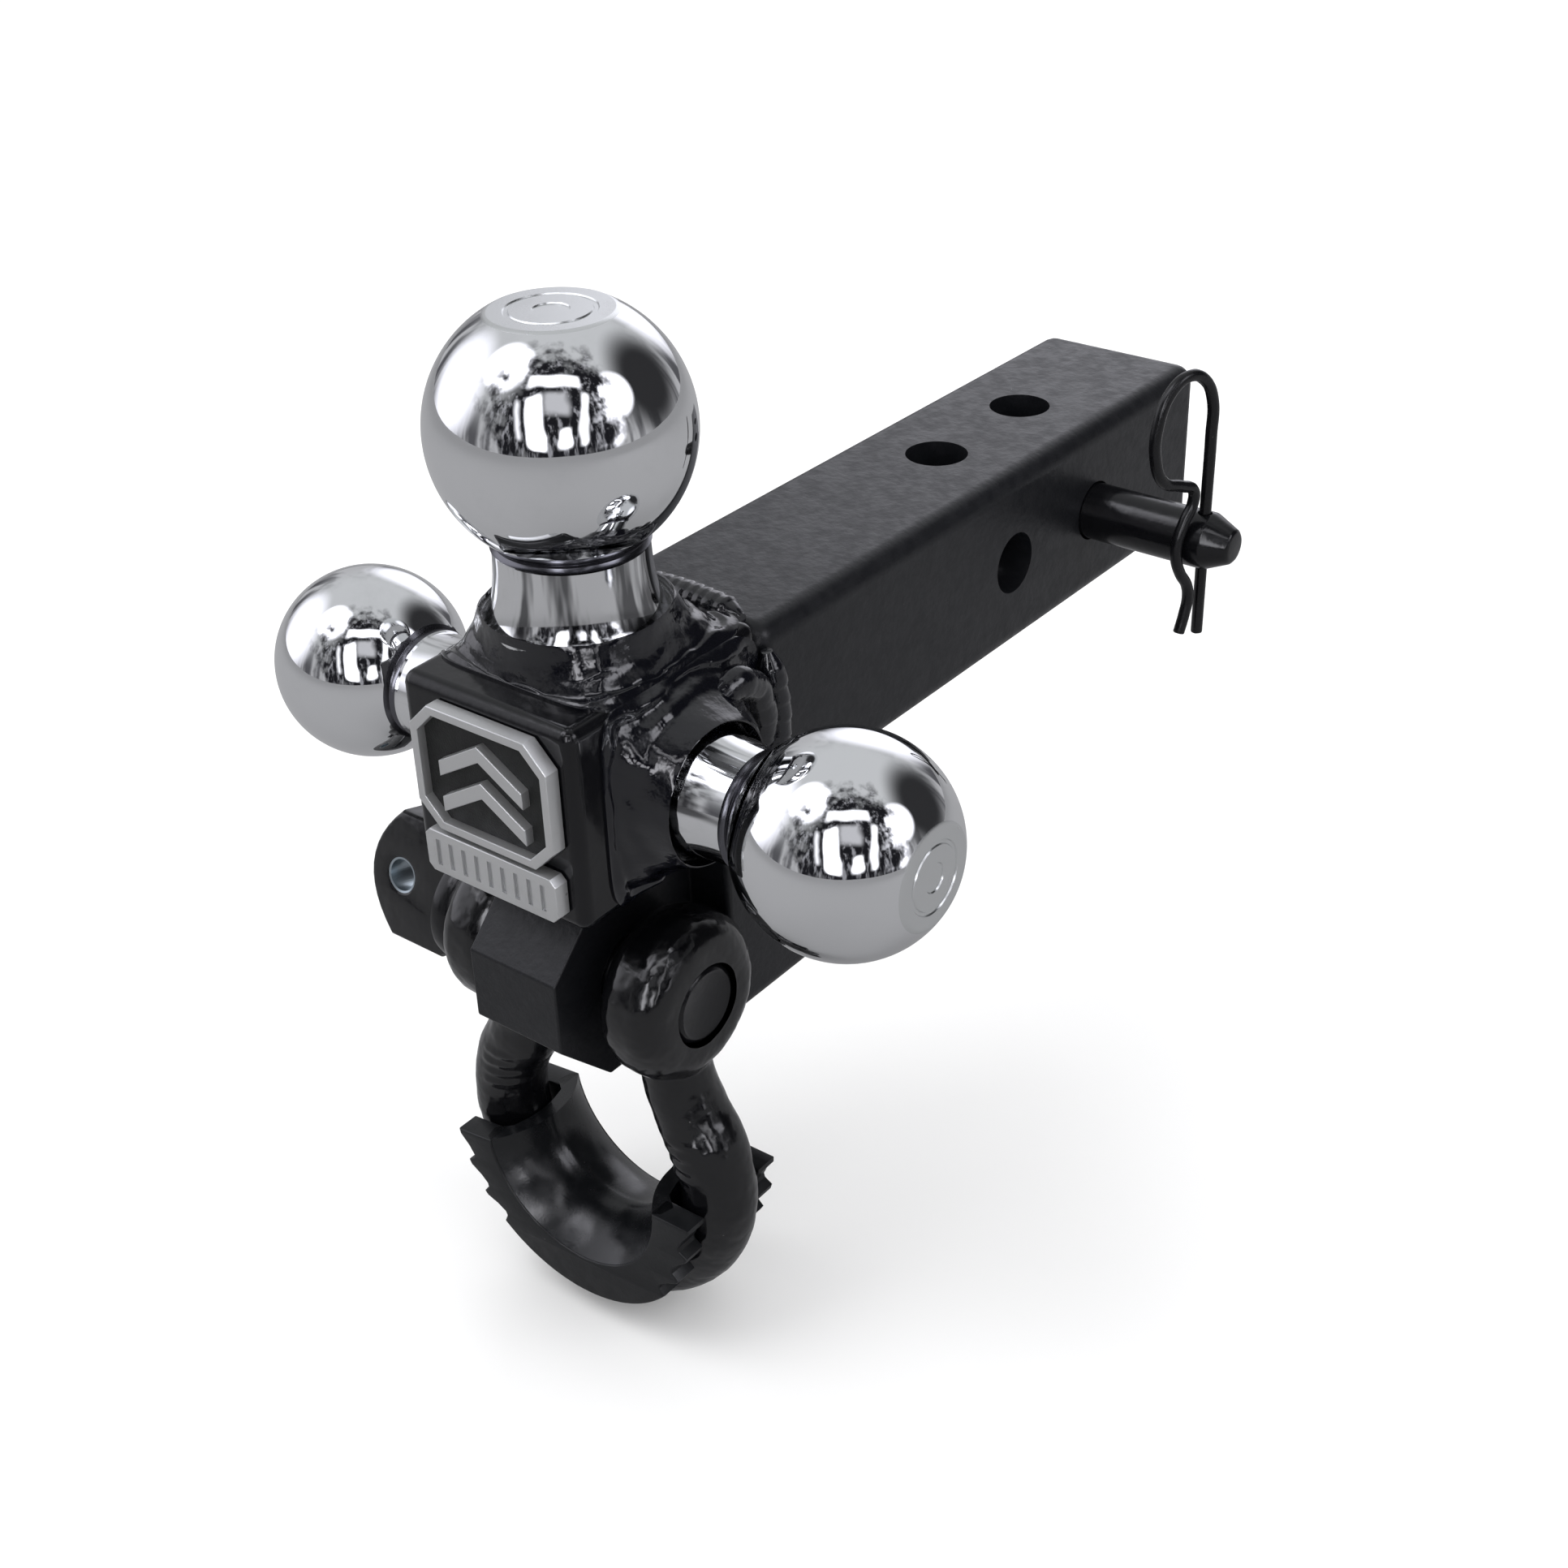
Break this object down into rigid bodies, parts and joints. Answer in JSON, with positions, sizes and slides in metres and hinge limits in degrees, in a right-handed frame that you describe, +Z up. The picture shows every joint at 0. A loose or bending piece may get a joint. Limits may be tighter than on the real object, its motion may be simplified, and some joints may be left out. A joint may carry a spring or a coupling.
{
  "type": "trailer hitch with balls",
  "caption": "Solid square-shank receiver hitch: a block with chrome tow balls on its faces, a bow shackle with a rubber isolator below, and a hitch pin with a spring clip",
  "frame": {"origin": "centre of the shank's rear end face", "axes": "+Y out of the rear end face towards the vehicle, along the shank; +Z up, the way the large ball points; +X the side of the middle-sized ball"},
  "size_m": [0.189, 0.2742, 0.2596],
  "materials": {
    "powder": "satin black powder coat",
    "gloss_black": "gloss black paint with orange peel",
    "weld": "gloss black paint over rippled weld",
    "chrome": "bright chrome plate",
    "silver": "satin silver casting",
    "enamel": "black enamel",
    "forged": "gloss black paint over forged steel",
    "isolator": "smooth black polyurethane",
    "pin_black": "gloss black paint",
    "wire_black": "black coated spring wire"
  },
  "bodies": {
    "mount": {"shank": "powder", "block": "gloss_black", "ball_top": "chrome", "ball_right": "chrome", "ball_left": "chrome", "weld_ball_top": "weld", "weld_ball_right": "weld", "weld_ball_left": "weld", "weld_shank_top": "weld", "weld_shank_right": "weld", "weld_shank_left": "weld", "lug_bar": "powder", "weld_lug_right": "weld", "weld_lug_left": "weld", "weld_lug_rear": "weld", "badge_plate": "silver", "badge_field": "enamel", "badge_bar": "silver"},
    "shackle": {"shackle_bow": "forged", "isolator": "isolator"},
    "screw_pin": {"shackle_pin": "forged"},
    "locking_pin": {"hitch_pin": "pin_black", "hitch_clip": "wire_black"}
  },
  "joints": [
    {"name": "shackle_swing", "type": "hinge", "parent": "mount", "child": "shackle", "pos_m": [0.0018, -0.2439, -0.0521], "axis": [-1, 0, 0], "range_deg": [-20, 115]},
    {"name": "screw_pin_draw", "type": "slide", "parent": "shackle", "child": "screw_pin", "axis": [-1, 0, 0], "range_m": [0, 0.075]},
    {"name": "hitch_pin_slide", "type": "slide", "parent": "mount", "child": "locking_pin", "axis": [-1, 0, 0], "range_m": [-0.006, 0.026]}
  ]
}
